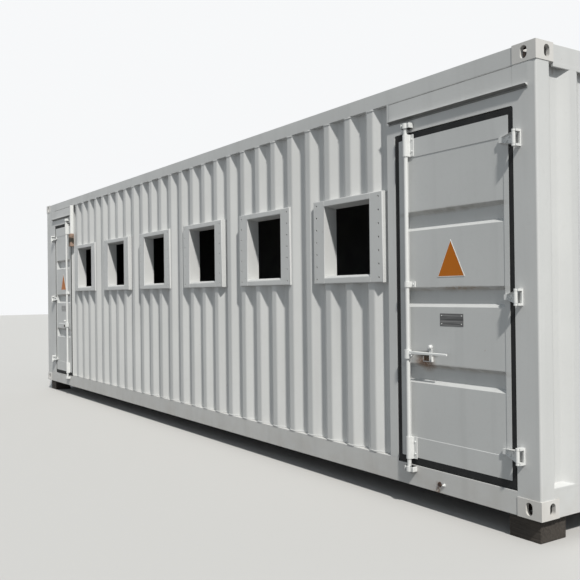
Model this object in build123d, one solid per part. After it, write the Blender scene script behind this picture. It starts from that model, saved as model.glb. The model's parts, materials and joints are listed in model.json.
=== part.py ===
from build123d import *
import os

os.makedirs("parts", exist_ok=True)

# All sizes are millimetres. Inside this file X runs along the long front wall
# from its far corner, Y runs into the cabin from the front plane and Z runs up
# from the underside of the corner castings. Every node is shifted once, when
# it is written, so that the origin lies on the ground under the middle.

# Shell
shell_length = 10020.0
shell_width = 2430.0
shell_height = 2896.0
wall_depth = 110.0

# Ground supports under the bottom castings
block_height = 150.0
block_size = 240.0
block_inset = 40.0

# Corner castings
casting_length = 178.0
casting_width = 162.0
casting_height = 118.0
casting_wall = 28.0
casting_proud = 4.0
side_aperture_long = 79.5
side_aperture_short = 51.0
side_aperture_from_end = 93.0
end_aperture_from_side = 103.0
top_aperture_long = 124.5
top_aperture_short = 63.5

# Corner posts
post_depth = 120.0
post_sheet = 6.0

# Rails
bottom_rail_height = 171.0
bottom_rail_depth = 60.0
top_rail_drop = 6.0
top_rail_height = 112.0
top_rail_depth = 80.0
rail_sheet = 6.0

# Corrugated sheet
sheet = 3.0
corrugation_depth = 45.0
corrugation_pitch = 278.0
outer_flat = 72.0
slope_run = 68.0
front_phase_from_end = 1628.0
end_phase = 284.0

# Roof sheet
roof_pitch = 209.0
roof_flat = 91.0
roof_slope = 13.5
roof_rise = 20.0
roof_plate = 3.0
roof_seat_rise = 72.0

# Floor
deck_thickness = 28.0
cross_member_height = 122.0
cross_member_flange = 45.0
cross_member_sheet = 5.0
cross_member_count = 24

# Ceiling
ceiling_thickness = 60.0

# Door openings in the front wall
right_opening_width = 1093.0
left_panel_width = 262.0
left_opening_width = 831.0
opening_bottom = 150.0
head_height = 248.0
opening_corner = 18.0
right_jamb_width = 85.0
left_jamb_width = 10.0
sill_plate = 6.0

# Door leaves
seal_gap_hinge = 6.0
seal_gap_free = 8.0
seal_gap_bottom = 6.0
seal_gap_top = 8.0
seal_width_hinge = 33.0
seal_width_free = 37.0
seal_width_bottom = 50.0
seal_width_top = 41.0
seal_setback = 1.0
seal_depth = 40.0
seal_corner = 12.0
leaf_corner = 6.0
leaf_thickness = 70.0
panel_margin_free = 98.0
panel_margin_hinge = 40.0
panel_over_sill = 200.0
panel_under_head = 183.0
panel_recess = 3.0
groove_centres = (810.0, 1348.0, 1889.0)
groove_mouth = 136.0
groove_slope = 24.0
groove_depth = 38.0
groove_margin_free = 52.0
groove_end_slope = 30.0

# Door hinges
hinge_over_sill = 224.0
hinge_middle = 1346.0
hinge_under_head = 210.0
pin_from_opening = 42.0
pin_proud = 46.0
pin_radius = 8.0
running_gap = 0.3
knuckle_radius = 12.0
knuckle_half = 36.0
lug_ear_gap = 2.0
lug_ear = 14.0
lug_reach_out = 20.0
lug_back = 12.0
lug_back_proud = 10.0
blade_thickness = 14.0
blade_foot = 30.0
blade_foot_bend = 6.0
blade_over_seal = 6.0
blade_tip_half = 27.0

# Lock rods
rod_from_free_edge = 106.0
rod_radius = 15.0
rod_proud = 31.0
rod_below_sill = 54.0
rod_above_head = 62.0
cam_radius = 24.0
cam_height = 36.0
cam_nose = 34.0
cam_nose_thickness = 22.0
cam_below_sill = 26.0
cam_above_head = 43.0
bracket_length = 157.0
bracket_over_sill = 45.0
bracket_under_head = 19.0
bracket_middle_low = 1419.0
bracket_middle_high = 1460.0
bracket_foot = 52.0
bracket_foot_plate = 6.0
bracket_radius = 21.0
keeper_base = 6.0
keeper_rib = 10.0
keeper_rib_proud = 44.0
keeper_rib_free = 30.0
keeper_rib_hinge = 40.0
keeper_height = 38.0

# Lever handles
lever_height = 955.0
lever_rise = 2.0
lever_length = 388.0
lever_root_depth = 22.0
lever_tip_depth = 14.0
lever_thickness = 12.0
lever_centre_proud = 38.0
hub_radius = 27.0
hub_height = 62.0
hub_drop = 13.0
gusset_reach = 76.0
gusset_thickness = 10.0
catch_from_rod = 197.0
catch_width = 26.0
catch_plate = 6.0
catch_plate_low = 897.0
catch_head_centre = 999.0
catch_head_radius = 17.0
saddle_to_rod = 60.0
saddle_to_tip = 24.0
saddle_height = 38.0
saddle_proud = 16.0
saddle_sheet = 5.0

# Sign plates
sign_base = 252.0
sign_height = 251.0
sign_bottom = 1486.0
sign_thickness = 2.0

# Rain hoods over the doors
hood_top_rise = 241.0
hood_knee_rise = 114.0
hood_nose_rise = 112.0
hood_foot_rise = 96.0
hood_lip = 4.0
hood_plate = 3.0
hood_nose_proud = 26.0
hood_overhang_wall = 59.0
hood_overhang_post = 116.0

# Window frames
window_near_margin = 489.0
window_far_margin = 629.0
window_count = 6
window_outer_width = 887.0
window_outer_height = 688.0
window_clear_width = 583.0
window_clear_height = 590.0
window_middle = 1805.0
window_sheet = 6.0
window_proud = 18.0
window_bolt_inset = 45.0
window_bolt_pitch = 102.0
window_bolt_rows = 7
window_bolt_radius = 7.5

# Derived places
right_opening_end = shell_length - casting_length
right_opening_start = right_opening_end - right_opening_width
left_opening_start = casting_length + left_panel_width
left_opening_end = left_opening_start + left_opening_width
front_phase = shell_length - front_phase_from_end
front_reach = rod_proud + hub_radius
inner_plane = corrugation_depth + sheet
top_rail_low = shell_height - top_rail_drop - top_rail_height
roof_seat = top_rail_low + roof_seat_rise
opening_top = top_rail_low - head_height
panel_bottom = opening_bottom + panel_over_sill
panel_top = opening_top - panel_under_head
hinge_heights = (opening_bottom + hinge_over_sill, hinge_middle, opening_top - hinge_under_head)
rod_bottom = opening_bottom - rod_below_sill
rod_top = opening_top + rod_above_head
cam_heights = (opening_bottom - cam_below_sill, opening_top + cam_above_head)
hood_foot = opening_top + hood_foot_rise
window_low = window_middle - window_outer_height / 2
window_high = window_middle + window_outer_height / 2
clear_low = window_middle - window_clear_height / 2
clear_high = window_middle + window_clear_height / 2
skin_start = left_opening_end + left_jamb_width
skin_end = right_opening_start - right_jamb_width
window_centre_first = skin_end - window_near_margin
window_centre_last = skin_start + window_far_margin
window_pitch = (window_centre_first - window_centre_last) / (window_count - 1)
window_centres = [window_centre_first - window_pitch * i for i in range(window_count)]
ground_shift = Pos(
    -shell_length / 2,
    -(shell_width + casting_proud - front_reach) / 2,
    block_height,
)


def block(x0, x1, y0, y1, z0, z1):
    """Solid box between two corners."""
    return Pos((x0 + x1) / 2, (y0 + y1) / 2, (z0 + z1) / 2) * Box(
        abs(x1 - x0), abs(y1 - y0), abs(z1 - z0)
    )


def prism_x(points_yz, x0, x1):
    """Closed (Y, Z) outline pushed from x0 to x1."""
    face = make_face(Polyline([(x0, y, z) for y, z in points_yz], close=True))
    return extrude(face, amount=x1 - x0, dir=(1, 0, 0))


def prism_y(points_xz, y0, y1):
    """Closed (X, Z) outline pushed from y0 to y1."""
    face = make_face(Polyline([(x, y0, z) for x, z in points_xz], close=True))
    return extrude(face, amount=y1 - y0, dir=(0, 1, 0))


def prism_z(points_xy, z0, z1):
    """Closed (X, Y) outline pushed from z0 to z1."""
    face = make_face(Polyline([(x, y, z0) for x, y in points_xy], close=True))
    return extrude(face, amount=z1 - z0, dir=(0, 0, 1))


def rounded_block(x0, x1, y0, y1, z0, z1, radius):
    """Box with its four edges along Y rounded."""
    return fillet(block(x0, x1, y0, y1, z0, z1).edges().filter_by(Axis.Y), radius)


def upright(x, y, z0, z1, radius):
    """Vertical cylinder."""
    return Pos(x, y, (z0 + z1) / 2) * Cylinder(radius, z1 - z0)


def save(name, solids):
    """Write one node in the shared frame."""
    placed = [ground_shift * one for one in solids]
    shape = placed[0] if len(placed) == 1 else Compound(children=placed)
    export_step(shape, f"parts/{name}.step")


def wave(start, end, phase):
    """Trapezoid line as (along, depth) pairs from start to end.

    Depth 0 is the outer flat, and phase is the middle of one slope that
    comes out from the inner flat.
    """
    inner_flat = corrugation_pitch - outer_flat - 2 * slope_run
    knots = []
    first = phase - corrugation_pitch * (int((phase - start) / corrugation_pitch) + 2)
    place = first
    while place < end + corrugation_pitch:
        rise = place - slope_run / 2
        knots.append((rise, corrugation_depth))
        knots.append((rise + slope_run, 0.0))
        knots.append((rise + slope_run + outer_flat, 0.0))
        knots.append((rise + 2 * slope_run + outer_flat, corrugation_depth))
        place += corrugation_pitch
    assert inner_flat > 0

    def depth_at(s):
        for (s0, d0), (s1, d1) in zip(knots, knots[1:]):
            if s0 <= s <= s1:
                return d0 + (d1 - d0) * (s - s0) / (s1 - s0)
        return corrugation_depth

    line = [(start, depth_at(start))]
    line += [(s, d) for s, d in knots if start < s < end]
    line.append((end, depth_at(end)))
    return line


def sheet_outline(line):
    """Closed outline of a sheet whose outer face follows the line."""
    back = [(s, d + sheet) for s, d in reversed(line)]
    return line + back


# Corner castings: hollow boxes with an oval aperture in each outer side, the
# end and the top or bottom.
def casting(at_end, at_back, z0, opens_up):
    x0 = shell_length - casting_length if at_end else -casting_proud
    y0 = shell_width - casting_width if at_back else -casting_proud
    x1 = x0 + casting_length + casting_proud
    y1 = y0 + casting_width + casting_proud
    z1 = z0 + casting_height
    mid_x = (x0 + x1) / 2
    mid_y = (y0 + y1) / 2
    mid_z = (z0 + z1) / 2
    side_x = x1 - side_aperture_from_end if at_end else x0 + side_aperture_from_end
    end_y = y1 - end_aperture_from_side if at_back else y0 + end_aperture_from_side
    w = casting_wall
    body = block(x0, x1, y0, y1, z0, z1) - block(x0 + w, x1 - w, y0 + w, y1 - w, z0 + w, z1 - w)
    side = extrude(
        Plane.XZ * SlotOverall(side_aperture_long, side_aperture_short, rotation=90),
        amount=w,
        both=True,
    )
    end = extrude(
        Plane.YZ * SlotOverall(side_aperture_long, side_aperture_short, rotation=90),
        amount=w,
        both=True,
    )
    flat = extrude(SlotOverall(top_aperture_long, top_aperture_short), amount=w, both=True)
    body -= Pos(side_x, y1 if at_back else y0, mid_z) * side
    body -= Pos(x1 if at_end else x0, end_y, mid_z) * end
    body -= Pos(mid_x, mid_y, z1 if opens_up else z0) * flat
    return body


corners = [(False, False), (True, False), (False, True), (True, True)]
save("bottom_castings", [casting(e, b, 0.0, False) for e, b in corners])
save("top_castings", [casting(e, b, shell_height - casting_height, True) for e, b in corners])


# Support blocks: four low pads under the bottom castings.
def support(at_end, at_back):
    x0 = shell_length - block_inset - block_size if at_end else block_inset
    y0 = shell_width - block_inset - block_size if at_back else block_inset
    return block(x0, x0 + block_size, y0, y0 + block_size, -block_height, 0.0)


save("support_blocks", [support(e, b) for e, b in corners])


# Corner posts: folded box sections between the castings.
def post(at_end, at_back):
    x0 = shell_length - casting_length if at_end else 0.0
    y0 = shell_width - post_depth if at_back else 0.0
    x1 = x0 + casting_length
    y1 = y0 + post_depth
    z0 = casting_height
    z1 = shell_height - casting_height
    t = post_sheet
    return block(x0, x1, y0, y1, z0, z1) - block(x0 + t, x1 - t, y0 + t, y1 - t, z0, z1)


save("corner_posts", [post(e, b) for e, b in corners])


# Bottom rails: channels with the web outwards. The front one steps down under
# each door, where a sill plate runs back through the wall.
def channel_points(height, depth, t):
    return [
        (0, 0),
        (depth, 0),
        (depth, t),
        (t, t),
        (t, height - t),
        (depth, height - t),
        (depth, height),
        (0, height),
    ]


rail_start = casting_length
rail_end = shell_length - casting_length
front_channel = prism_x(
    channel_points(bottom_rail_height, bottom_rail_depth, rail_sheet), rail_start, rail_end
)
back_channel = prism_x(
    [
        (shell_width - y, z)
        for y, z in channel_points(bottom_rail_height, bottom_rail_depth, rail_sheet)
    ],
    rail_start,
    rail_end,
)
door_bands = [(rail_start, left_opening_end), (right_opening_start, rail_end)]
for x0, x1 in door_bands:
    front_channel -= block(x0, x1, -1, bottom_rail_depth + 1, opening_bottom, bottom_rail_height + 1)
for x0, x1 in door_bands:
    front_channel += block(x0, x1, 0, wall_depth, opening_bottom - sill_plate, opening_bottom)
save("bottom_side_rails", [front_channel, back_channel])

end_channel = prism_y(
    [(y, z) for y, z in channel_points(bottom_rail_height, bottom_rail_depth, rail_sheet)],
    casting_width,
    shell_width - casting_width,
)
far_channel = prism_y(
    [
        (shell_length - y, z)
        for y, z in channel_points(bottom_rail_height, bottom_rail_depth, rail_sheet)
    ],
    casting_width,
    shell_width - casting_width,
)
for y0, y1 in ((post_depth, casting_width), (shell_width - casting_width, shell_width - post_depth)):
    end_channel += block(0, bottom_rail_depth, y0, y1, casting_height, bottom_rail_height)
    far_channel += block(
        shell_length - bottom_rail_depth, shell_length, y0, y1, casting_height, bottom_rail_height
    )
save("bottom_end_rails", [end_channel, far_channel])


# Top rails: closed box sections between the top castings.
def tube_x(y0, y1):
    z0 = top_rail_low
    z1 = top_rail_low + top_rail_height
    t = rail_sheet
    outer = block(rail_start, rail_end, y0, y1, z0, z1)
    return outer - block(rail_start, rail_end, y0 + t, y1 - t, z0 + t, z1 - t)


def tube_y(x0, x1):
    z0 = top_rail_low
    z1 = top_rail_low + top_rail_height
    t = rail_sheet
    y0 = casting_width
    y1 = shell_width - casting_width
    return block(x0, x1, y0, y1, z0, z1) - block(x0 + t, x1 - t, y0, y1, z0 + t, z1 - t)


save(
    "top_side_rails",
    [tube_x(0, top_rail_depth), tube_x(shell_width - top_rail_depth, shell_width)],
)
save(
    "top_end_rails",
    [tube_y(0, top_rail_depth), tube_y(shell_length - top_rail_depth, shell_length)],
)

# Floor: pressed channel cross members between the rail webs, and a deck.
deck_top = bottom_rail_height
deck_low = deck_top - deck_thickness
member_span = rail_end - rail_start - 2 * cross_member_flange
members = []
for i in range(cross_member_count):
    x = rail_start + cross_member_flange / 2 + (i + 0.5) * member_span / cross_member_count
    t = cross_member_sheet
    f = cross_member_flange
    z1 = deck_low
    z0 = deck_low - cross_member_height
    outline = [
        (x, z0),
        (x + f, z0),
        (x + f, z0 + t),
        (x + t, z0 + t),
        (x + t, z1 - t),
        (x + f, z1 - t),
        (x + f, z1),
        (x, z1),
    ]
    members.append(prism_y(outline, rail_sheet, shell_width - rail_sheet))
save("floor_cross_members", members)

deck = block(
    bottom_rail_depth,
    shell_length - bottom_rail_depth,
    bottom_rail_depth,
    shell_width - bottom_rail_depth,
    deck_low,
    deck_top,
)
for x0, x1 in door_bands:
    deck -= block(x0, x1, 0, wall_depth, deck_low - 1, deck_top + 1)
for at_end, at_back in corners:
    x0 = shell_length - casting_length if at_end else 0.0
    y0 = shell_width - casting_width if at_back else 0.0
    deck -= block(x0, x0 + casting_length, y0, y0 + casting_width, deck_low - 1, deck_top + 1)
save("floor_deck", [deck])

# Front wall skin: corrugated bands under and over the windows, and upright
# strips between them.
front_line = wave(skin_start, skin_end, front_phase)
low_band = prism_z(sheet_outline(front_line), bottom_rail_height, window_low)
high_band = prism_z(sheet_outline(front_line), window_high, top_rail_low)
save("front_wall_bands", [low_band, high_band])

half_window = window_outer_width / 2
pier_edges = [skin_end]
for centre in window_centres:
    pier_edges += [centre + half_window, centre - half_window]
pier_edges.append(skin_start)
pier_spans = [(pier_edges[i + 1], pier_edges[i]) for i in range(0, len(pier_edges), 2)]
save(
    "front_wall_piers",
    [
        prism_z(sheet_outline(wave(x0, x1, front_phase)), window_low, window_high)
        for x0, x1 in pier_spans
    ],
)

# Front wall lining: insulated boards behind the skin, split like the skin.
half_clear = window_clear_width / 2 + window_sheet
lining_low = clear_low - window_sheet
lining_high = clear_high + window_sheet
save(
    "front_lining_bands",
    [
        block(skin_start, skin_end, inner_plane, wall_depth, bottom_rail_height, lining_low),
        block(skin_start, skin_end, inner_plane, wall_depth, lining_high, top_rail_low),
    ],
)
lining_edges = [skin_end]
for centre in window_centres:
    lining_edges += [centre + half_clear, centre - half_clear]
lining_edges.append(skin_start)
save(
    "front_lining_piers",
    [
        block(lining_edges[i + 1], lining_edges[i], inner_plane, wall_depth, lining_low, lining_high)
        for i in range(0, len(lining_edges), 2)
    ],
)

# Back wall: one corrugated sheet and one lining board between the posts.
back_line = [
    (x, shell_width - d) for x, d in wave(rail_start, rail_end, front_phase)
]
back_inner = [(x, y - sheet) for x, y in reversed(back_line)]
save("back_wall", [prism_z(back_line + back_inner, bottom_rail_height, top_rail_low)])
save(
    "back_lining",
    [
        block(
            rail_start,
            rail_end,
            shell_width - wall_depth,
            shell_width - inner_plane,
            bottom_rail_height,
            top_rail_low,
        )
    ],
)

# End walls: corrugated sheets between the posts, with their linings.
end_line = wave(post_depth, shell_width - post_depth, end_phase)
left_outer = [(d, y) for y, d in end_line]
left_inner = [(d + sheet, y) for y, d in reversed(end_line)]
right_outer = [(shell_length - d, y) for y, d in end_line]
right_inner = [(shell_length - d - sheet, y) for y, d in reversed(end_line)]
save(
    "end_walls",
    [
        prism_z(left_outer + left_inner, bottom_rail_height, top_rail_low),
        prism_z(right_outer + right_inner, bottom_rail_height, top_rail_low),
    ],
)
save(
    "end_linings",
    [
        block(
            x0,
            x1,
            casting_width,
            shell_width - casting_width,
            bottom_rail_height,
            top_rail_low,
        )
        for x0, x1 in (
            (inner_plane, wall_depth),
            (shell_length - wall_depth, shell_length - inner_plane),
        )
    ],
)

# Ceiling: one board inside the wall linings.
ceiling = block(
    wall_depth,
    shell_length - wall_depth,
    wall_depth,
    shell_width - wall_depth,
    top_rail_low - ceiling_thickness,
    top_rail_low,
)
for at_end, at_back in corners:
    x0 = shell_length - casting_length if at_end else 0.0
    y0 = shell_width - casting_width if at_back else 0.0
    ceiling -= block(
        x0,
        x0 + casting_length,
        y0,
        y0 + casting_width,
        top_rail_low - ceiling_thickness - 1,
        top_rail_low + 1,
    )
save("ceiling_lining", [ceiling])

# Roof: one sheet with cross corrugations between the top rails.
roof_start = top_rail_depth
roof_end = shell_length - top_rail_depth
roof_line = [(roof_start, roof_seat)]
place = roof_start + roof_flat
while place + roof_pitch < roof_end:
    roof_line.append((place, roof_seat))
    roof_line.append((place + roof_slope, roof_seat + roof_rise))
    roof_line.append((place + roof_slope + roof_flat, roof_seat + roof_rise))
    roof_line.append((place + 2 * roof_slope + roof_flat, roof_seat))
    place += roof_pitch
roof_line.append((roof_end, roof_seat))
roof_back = [(x, z - roof_plate) for x, z in reversed(roof_line)]
roof = prism_y(roof_line + roof_back, top_rail_depth, shell_width - top_rail_depth)
for at_end, at_back in corners:
    x0 = shell_length - casting_length if at_end else 0.0
    y0 = shell_width - casting_width if at_back else 0.0
    roof -= block(x0, x0 + casting_length, y0, y0 + casting_width, top_rail_low, shell_height)
save("roof_sheet", [roof])


# Window frames: a proud folded flange with bolt holes down both sides, side
# returns that close the corrugation, and a sleeve through the wall.
def window_frame(centre):
    t = window_sheet
    ow = window_outer_width / 2
    oh = window_outer_height / 2
    cw = window_clear_width / 2
    ch = window_clear_height / 2
    zc = window_middle
    front = -window_proud
    plate = block(centre - ow, centre + ow, front, front + t, zc - oh, zc + oh)
    rim = block(centre - ow, centre + ow, front, inner_plane, zc - oh, zc + oh)
    rim -= block(centre - ow + t, centre + ow - t, front - 1, inner_plane + 1, zc - oh + t, zc + oh - t)
    sleeve = block(centre - cw - t, centre + cw + t, front, wall_depth, zc - ch - t, zc + ch + t)
    frame = plate + rim + sleeve
    frame -= block(centre - cw, centre + cw, front - 1, wall_depth + 1, zc - ch, zc + ch)
    for side in (-1, 1):
        x = centre + side * (ow - window_bolt_inset)
        for row in range(window_bolt_rows):
            z = zc + (row - (window_bolt_rows - 1) / 2) * window_bolt_pitch
            hole = Pos(x, front + t / 2, z) * Rot(90, 0, 0) * Cylinder(window_bolt_radius, 3 * t)
            frame -= hole
    return frame


for number, centre in enumerate(window_centres, start=1):
    save(f"window_frame_{number}", [window_frame(centre)])

# Door jambs beside the corrugation, the flat panel between the left post and
# its door, and the insulated heads over both doors.
jambs = [
    block(left_opening_end, skin_start, 0, wall_depth, bottom_rail_height, top_rail_low),
    block(skin_end, right_opening_start, 0, wall_depth, bottom_rail_height, top_rail_low),
    block(casting_length, left_opening_start, 0, wall_depth, opening_bottom, top_rail_low),
]
save("door_jambs", jambs)
heads = []
for x0, x1 in (
    (left_opening_start, left_opening_end),
    (right_opening_start, right_opening_end),
):
    head = block(x0, x1, 0, wall_depth, opening_top - opening_corner, top_rail_low)
    head -= rounded_block(x0, x1, -1, wall_depth + 1, opening_bottom, opening_top, opening_corner)
    heads.append(head)
save("door_heads", heads)

# Rain hoods: folded plates that flare to a drip nose over each door.
hood_points = [
    (0, opening_top + hood_top_rise),
    (-hood_plate, opening_top + hood_top_rise),
    (-hood_plate, opening_top + hood_knee_rise),
    (-hood_nose_proud, opening_top + hood_nose_rise),
    (-hood_nose_proud, opening_top + hood_nose_rise - hood_lip),
    (0, hood_foot),
]
save(
    "rain_hoods",
    [
        prism_x(
            hood_points,
            left_opening_start - hood_overhang_post,
            left_opening_end + hood_overhang_wall,
        ),
        prism_x(
            hood_points,
            right_opening_start - hood_overhang_wall,
            right_opening_end + hood_overhang_post,
        ),
    ],
)


# Doors. Each is drawn once from its hinge side, and side is +1 where the
# hinge is at high X.
def door(name, hinge_edge, free_edge):
    side = 1.0 if hinge_edge > free_edge else -1.0
    seal_hinge = hinge_edge - side * seal_gap_hinge
    seal_free = free_edge + side * seal_gap_free
    seal_low = opening_bottom + seal_gap_bottom
    seal_high = opening_top - seal_gap_top
    leaf_hinge = seal_hinge - side * seal_width_hinge
    leaf_free = seal_free + side * seal_width_free
    leaf_low = seal_low + seal_width_bottom
    leaf_high = seal_high - seal_width_top
    panel_hinge = leaf_hinge - side * panel_margin_hinge
    panel_free = leaf_free + side * panel_margin_free
    groove_free = leaf_free + side * groove_margin_free
    rod_x = leaf_free + side * rod_from_free_edge
    pin_x = hinge_edge + side * pin_from_opening
    rod_y = -rod_proud

    # Leaf: an insulated slab whose outer skin is a recessed panel with three
    # pressed grooves that run on behind the lock rod.
    leaf_x0 = min(leaf_free, leaf_hinge)
    leaf_x1 = max(leaf_free, leaf_hinge)
    leaf = rounded_block(leaf_x0, leaf_x1, 0, leaf_thickness, leaf_low, leaf_high, leaf_corner)
    leaf -= block(panel_free, panel_hinge, -1, panel_recess, panel_bottom, panel_top)
    for z in groove_centres:
        mouth = groove_mouth / 2
        floor = mouth - groove_slope
        bottom = panel_recess + groove_depth
        outline = [
            (-1, z - mouth),
            (panel_recess, z - mouth),
            (bottom, z - floor),
            (bottom, z + floor),
            (panel_recess, z + mouth),
            (-1, z + mouth),
        ]
        groove = prism_x(outline, min(groove_free, panel_hinge), max(groove_free, panel_hinge))
        groove -= prism_z(
            [
                (panel_hinge, panel_recess),
                (panel_hinge - side * groove_end_slope, bottom),
                (panel_hinge - side * groove_end_slope, bottom + 1),
                (panel_hinge + side, bottom + 1),
                (panel_hinge + side, panel_recess),
            ],
            z - mouth - 1,
            z + mouth + 1,
        )
        leaf -= groove
    save(f"{name}_door_leaf", [leaf])

    # Seal: rubber ring round the leaf edge.
    seal = rounded_block(
        min(seal_free, seal_hinge),
        max(seal_free, seal_hinge),
        seal_setback,
        seal_setback + seal_depth,
        seal_low,
        seal_high,
        seal_corner,
    )
    seal -= rounded_block(leaf_x0, leaf_x1, -1, leaf_thickness, leaf_low, leaf_high, leaf_corner)
    save(f"{name}_door_seal", [seal])

    # Hinges: two ears that stand out from the post with a pin between them, a
    # short web behind, and a bored knuckle whose blade bends back to the leaf
    # and narrows to its tip.
    lugs = []
    blades = []
    blade_tip = leaf_hinge - side * blade_foot
    blade_bend = leaf_hinge - side * blade_foot_bend
    for z in hinge_heights:
        inner = knuckle_half + lug_ear_gap
        outer = inner + lug_ear
        x_in = pin_x - side * knuckle_radius
        x_out = pin_x + side * lug_reach_out
        lug = block(x_out - side * lug_back, x_out, -lug_back_proud, 0, z - outer, z + outer)
        for z0, z1 in ((z - outer, z - inner), (z + inner, z + outer)):
            lug += block(x_in, x_out, -pin_proud, 0, z0, z1)
            lug += upright(pin_x, -pin_proud, z0, z1, knuckle_radius)
        lug += upright(pin_x, -pin_proud, z - outer, z + outer, pin_radius)
        lugs.append(lug)
        strap = prism_z(
            [
                (pin_x, -pin_proud - knuckle_radius),
                (blade_bend, -blade_thickness),
                (blade_tip, -blade_thickness),
                (blade_tip, 0),
                (blade_bend, 0),
                (seal_hinge, -blade_over_seal),
                (pin_x, -pin_proud + pin_radius),
            ],
            z - knuckle_half,
            z + knuckle_half,
        )
        strap &= prism_y(
            [
                (pin_x, z - knuckle_half),
                (pin_x, z + knuckle_half),
                (blade_tip, z + blade_tip_half),
                (blade_tip, z - blade_tip_half),
            ],
            -pin_proud - 2 * knuckle_radius,
            1,
        )
        blade = strap + upright(pin_x, -pin_proud, z - knuckle_half, z + knuckle_half, knuckle_radius)
        blade -= upright(pin_x, -pin_proud, z - outer, z + outer, pin_radius + running_gap)
        blades.append(blade)
    save(f"{name}_hinge_blades", blades)

    # Rod brackets on the leaf, and the open catch under the lever.
    brackets = []
    bands = (
        (opening_bottom + bracket_over_sill, opening_bottom + bracket_over_sill + bracket_length),
        (bracket_middle_low, bracket_middle_high),
        (opening_top - bracket_under_head - bracket_length, opening_top - bracket_under_head),
    )
    for z0, z1 in bands:
        bracket = upright(rod_x, rod_y, z0, z1, bracket_radius)
        bracket += block(rod_x - bracket_radius, rod_x + bracket_radius, rod_y, 0, z0, z1)
        foot_depth = panel_recess if z0 > panel_bottom and z1 < panel_top else 0.0
        bracket += block(rod_x, rod_x + side * bracket_foot, -bracket_foot_plate, foot_depth, z0, z1)
        bracket -= upright(rod_x, rod_y, z0 - 1, z1 + 1, rod_radius + running_gap)
        brackets.append(bracket)
    catch_x = rod_x + side * catch_from_rod
    half = catch_width / 2
    catch = block(
        catch_x - half,
        catch_x + half,
        panel_recess - catch_plate,
        panel_recess,
        catch_plate_low,
        catch_head_centre,
    )
    catch += (
        Pos(catch_x, panel_recess - catch_plate / 2, catch_head_centre)
        * Rot(90, 0, 0)
        * Cylinder(catch_head_radius, catch_plate)
    )
    saddle_near = catch_x - side * saddle_to_rod
    saddle_far = catch_x + side * saddle_to_tip
    saddle = block(
        saddle_near,
        saddle_far,
        -saddle_proud,
        panel_recess,
        catch_plate_low,
        catch_plate_low + saddle_height,
    )
    saddle -= block(
        saddle_near + side * saddle_sheet,
        saddle_far - side * saddle_sheet,
        -saddle_proud - 1,
        panel_recess - saddle_sheet,
        catch_plate_low + saddle_sheet,
        catch_plate_low + saddle_height + 1,
    )
    catch += saddle
    brackets.append(catch)
    save(f"{name}_rod_brackets", brackets)

    # Lock rod with a cam at each end.
    rod = upright(rod_x, rod_y, rod_bottom, rod_top, rod_radius)
    for z in cam_heights:
        z0 = z - cam_height / 2
        z1 = z + cam_height / 2
        rod += upright(rod_x, rod_y, z0, z1, cam_radius)
        rod += block(
            rod_x,
            rod_x + side * cam_nose,
            rod_y - cam_nose_thickness / 2,
            rod_y + cam_nose_thickness / 2,
            z0,
            z1,
        )
    save(f"{name}_lock_rod", [rod])

    # Lever: a hub collar on the rod, a flat bar and a web that stiffens its root.
    hub_middle = lever_height - hub_drop
    hub_low = hub_middle - hub_height / 2
    hub = upright(rod_x, rod_y, hub_low, hub_low + hub_height, hub_radius)
    hub -= upright(rod_x, rod_y, 0, 2 * lever_height, rod_radius)
    tip_x = rod_x + side * lever_length
    bar = prism_y(
        [
            (rod_x + side * rod_radius, lever_height - lever_root_depth / 2),
            (tip_x, lever_height + lever_rise - lever_tip_depth / 2),
            (tip_x, lever_height + lever_rise + lever_tip_depth / 2),
            (rod_x + side * rod_radius, lever_height + lever_root_depth / 2),
        ],
        -lever_centre_proud - lever_thickness / 2,
        -lever_centre_proud + lever_thickness / 2,
    )
    gusset = prism_y(
        [
            (rod_x, lever_height),
            (rod_x + side * gusset_reach, lever_height),
            (rod_x + side * hub_radius, hub_low),
            (rod_x, hub_low),
        ],
        -lever_centre_proud - gusset_thickness / 2,
        -lever_centre_proud + gusset_thickness / 2,
    )
    bar += gusset
    bar -= upright(rod_x, rod_y, 0, 2 * lever_height, rod_radius)
    save(f"{name}_lever_handle", [hub + bar])

    # Sign: a plain triangular plate in the middle of the leaf.
    sign_x = (leaf_free + leaf_hinge) / 2
    sign = prism_y(
        [
            (sign_x - sign_base / 2, sign_bottom),
            (sign_x + sign_base / 2, sign_bottom),
            (sign_x, sign_bottom + sign_height),
        ],
        panel_recess - sign_thickness,
        panel_recess,
    )
    save(f"{name}_sign_plate", [sign])

    # Keepers for the cams on the head and the sill.
    keepers = []
    for z, surface_high in zip(cam_heights, (False, True)):
        x_free = rod_x - side * (keeper_rib_free + keeper_rib)
        x_hinge = rod_x + side * (keeper_rib_hinge + keeper_rib)
        z0 = z - keeper_height / 2
        z1 = min(z + keeper_height / 2, hood_foot - 1.0) if surface_high else z + keeper_height / 2
        z1 = z1 if surface_high else min(z1, opening_bottom)
        z0 = max(z0, opening_top) if surface_high else z0
        keeper = block(x_free, x_hinge, -keeper_base, 0, z0, z1)
        keeper += block(x_free, x_free + side * keeper_rib, -keeper_rib_proud, 0, z0, z1)
        keeper += block(x_hinge - side * keeper_rib, x_hinge, -keeper_rib_proud, 0, z0, z1)
        keepers.append(keeper)
    return lugs, keepers


right_lugs, right_keepers = door("right", right_opening_end, right_opening_start)
left_lugs, left_keepers = door("left", left_opening_start, left_opening_end)
save("hinge_lugs", right_lugs + left_lugs)
save("lock_keepers", right_keepers + left_keepers)
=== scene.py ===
import bmesh
import bpy
import json
from math import radians
from mathutils import Matrix, Vector


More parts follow.
